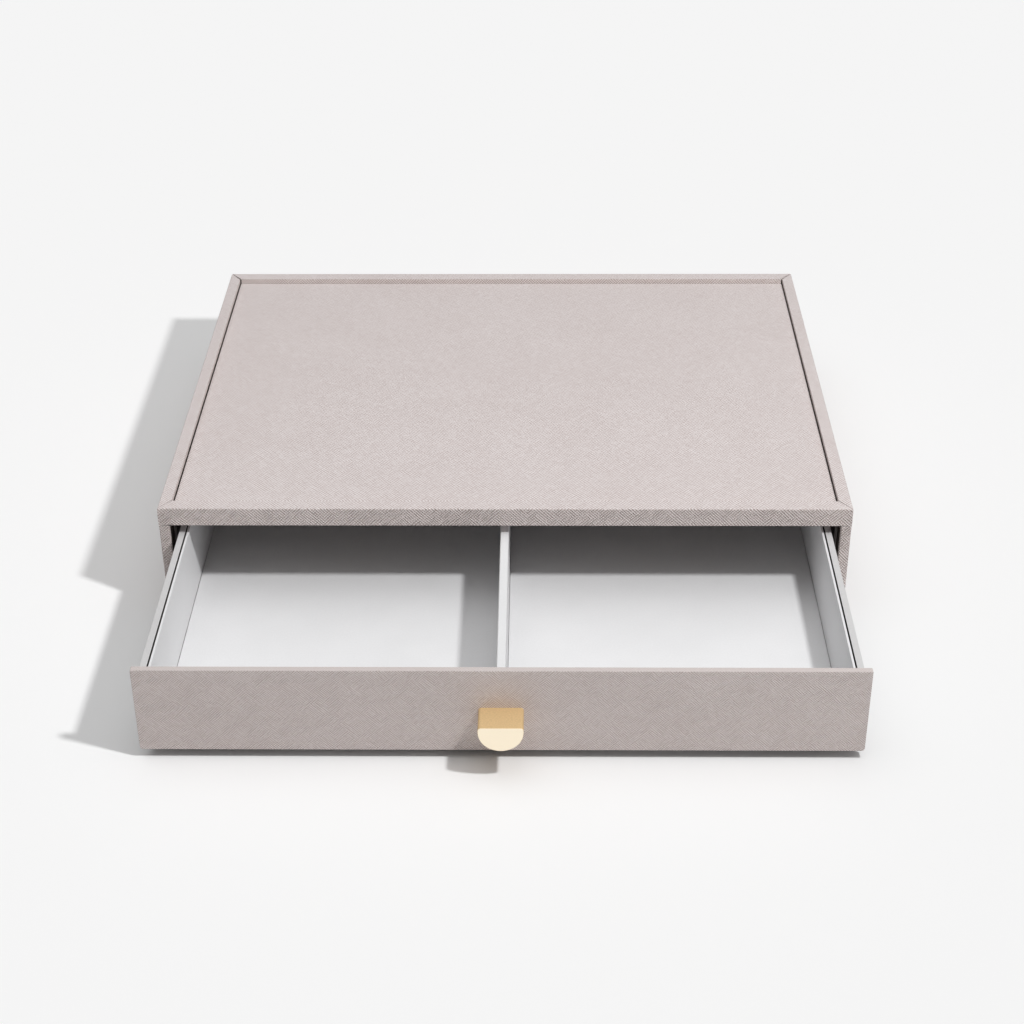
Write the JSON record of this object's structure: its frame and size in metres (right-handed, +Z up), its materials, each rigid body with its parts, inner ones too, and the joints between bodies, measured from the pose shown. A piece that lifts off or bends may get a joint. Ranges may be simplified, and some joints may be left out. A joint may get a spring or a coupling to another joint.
{
  "type": "drawer box",
  "caption": "Low wide leatherette-covered box with a raised mitred rim round its top and one full-width lined drawer, split by a partition and pulled by a D-shaped metal knob.",
  "frame": {"origin": "centre of the case's underside, on the surface that it stands on", "axes": "+X to the right seen from the front, -Y out of the drawer's front, +Z up"},
  "size_m": [0.3, 0.3568, 0.053],
  "materials": {
    "leatherette": "fine cross-hatched taupe leatherette, satin",
    "board": "bare fibreboard",
    "case_lining": "matt pale grey card",
    "drawer_lining": "matt pale grey card",
    "drawer_wall": "matt pale grey paper over board",
    "filler_card": "bare card",
    "base_felt": "short dense felt",
    "gold_metal": "satin pale gold plating",
    "screw_steel": "bright zinc plating"
  },
  "bodies": {
    "case": {"case_wrap": "leatherette", "header_wrap": "leatherette", "sill_wrap": "leatherette", "top_panel_cover": "leatherette", "left_side_board": "board", "right_side_board": "board", "back_board": "board", "top_board": "board", "bottom_board": "board", "top_panel_board": "board", "rim_strip_left": "board", "rim_strip_right": "board", "rim_strip_front": "board", "rim_strip_back": "board", "left_lining": "case_lining", "right_lining": "case_lining", "back_lining": "case_lining", "top_lining": "case_lining", "bottom_lining": "case_lining", "base_felt": "base_felt"},
    "drawer": {"drawer_front_cover": "leatherette", "drawer_front_board": "board", "drawer_left_liner": "drawer_lining", "drawer_right_liner": "drawer_lining", "drawer_front_liner": "drawer_lining", "drawer_back_liner": "drawer_lining", "drawer_floor_liner": "drawer_lining", "drawer_divider": "drawer_lining", "drawer_left_wall": "drawer_wall", "drawer_right_wall": "drawer_wall", "drawer_inner_front": "drawer_wall", "drawer_back_wall": "drawer_wall", "drawer_bottom": "drawer_wall", "drawer_front_filler": "filler_card", "knob": "gold_metal", "knob_screws": "screw_steel", "knob_washers": "screw_steel"}
  },
  "joints": [
    {"name": "drawer_slide", "type": "slide", "parent": "case", "child": "drawer", "axis": [0, -1, 0], "range_m": [-0.1036, 0.0764]}
  ]
}
